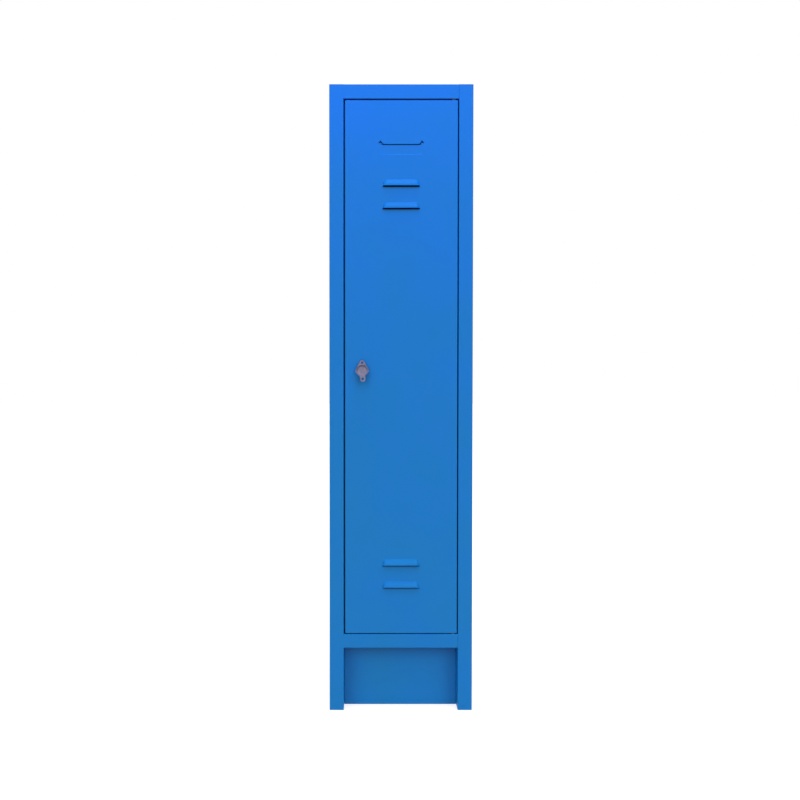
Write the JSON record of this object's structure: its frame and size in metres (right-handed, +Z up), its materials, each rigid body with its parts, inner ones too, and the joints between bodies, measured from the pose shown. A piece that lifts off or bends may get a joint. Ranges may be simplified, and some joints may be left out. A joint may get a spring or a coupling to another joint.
{
  "type": "clothes locker",
  "caption": "Tall folded-steel clothes locker with a louvred hinged door, a padlockable turn lock, a hat shelf and a coat rail, standing on a recessed kick plate.",
  "frame": {"origin": "on the floor, in the middle of the whole box, knob included", "axes": "+X to the right as seen from the front, +Y from the front to the back, +Z up"},
  "size_m": [0.412, 0.5218, 1.8],
  "materials": {
    "blue_powder_coat": "satin blue powder coat",
    "die_cast_zinc": "satin, as cast and tumbled",
    "zinc_plated_steel": "bright zinc plate",
    "chromed_steel": "polished chrome plate",
    "grey_nylon": "moulded, matt",
    "black_rubber": "moulded, matt"
  },
  "bodies": {
    "carcass": {"left_side_panel": "blue_powder_coat", "right_side_panel": "blue_powder_coat", "back_panel": "blue_powder_coat", "top_panel": "blue_powder_coat", "bottom_panel": "blue_powder_coat", "kick_plate": "blue_powder_coat", "left_foot_runner": "blue_powder_coat", "right_foot_runner": "blue_powder_coat", "hat_shelf": "blue_powder_coat", "left_shelf_bracket": "blue_powder_coat", "right_shelf_bracket": "blue_powder_coat", "coat_rail": "chromed_steel", "left_rail_socket": "grey_nylon", "right_rail_socket": "grey_nylon", "door_stop": "blue_powder_coat", "upper_buffer": "black_rubber", "lower_buffer": "black_rubber", "upper_hinge_pin": "zinc_plated_steel", "lower_hinge_pin": "zinc_plated_steel"},
    "door": {"door_panel": "blue_powder_coat", "door_stiffener": "blue_powder_coat", "upper_hinge_bush": "grey_nylon", "lower_hinge_bush": "grey_nylon", "lock_base": "die_cast_zinc", "lock_washer": "zinc_plated_steel", "lock_nut": "zinc_plated_steel"},
    "knob": {"turn_knob": "die_cast_zinc", "lock_cam": "zinc_plated_steel", "cam_screw": "zinc_plated_steel"},
    "left_hook": {"left_coat_hook": "grey_nylon"},
    "right_hook": {"right_coat_hook": "grey_nylon"}
  },
  "joints": [
    {"name": "door_hinge", "type": "hinge", "parent": "carcass", "child": "door", "pos_m": [0.15, -0.23115, 0.221], "axis": [0, 0, 1], "range_deg": [0, 115]},
    {"name": "lock_turn", "type": "hinge", "parent": "door", "child": "knob", "pos_m": [-0.112, -0.23915, 0.983], "axis": [0, 1, 0], "range_deg": [0, 185]},
    {"name": "left_hook_slide", "type": "slide", "parent": "carcass", "child": "left_hook", "axis": [1, 0, 0], "range_m": [-0.11, 0.06]},
    {"name": "right_hook_slide", "type": "slide", "parent": "carcass", "child": "right_hook", "axis": [1, 0, 0], "range_m": [-0.06, 0.11]}
  ]
}
